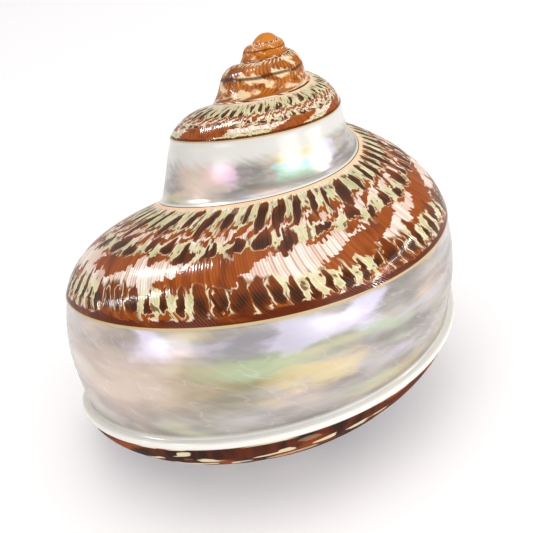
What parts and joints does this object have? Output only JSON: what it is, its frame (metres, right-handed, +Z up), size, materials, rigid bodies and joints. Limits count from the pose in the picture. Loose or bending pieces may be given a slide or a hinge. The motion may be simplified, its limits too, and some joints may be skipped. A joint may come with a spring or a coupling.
{
  "type": "turban shell",
  "caption": "Coiled turban sea shell with stepped whorls, a low spire, a raised cord round the base and an open round mouth.",
  "frame": {"origin": "centre of the bounding box on the surface that the shell rests on", "axes": "+Z up as the shell stands, +Y away from the viewer of its banded side, towards the mouth's side, +X to that viewer's right"},
  "size_m": [0.0576, 0.0616, 0.0528],
  "materials": {
    "polished_shell": "glossy"
  },
  "bodies": {
    "root": {"shell": "polished_shell"}
  },
  "joints": []
}
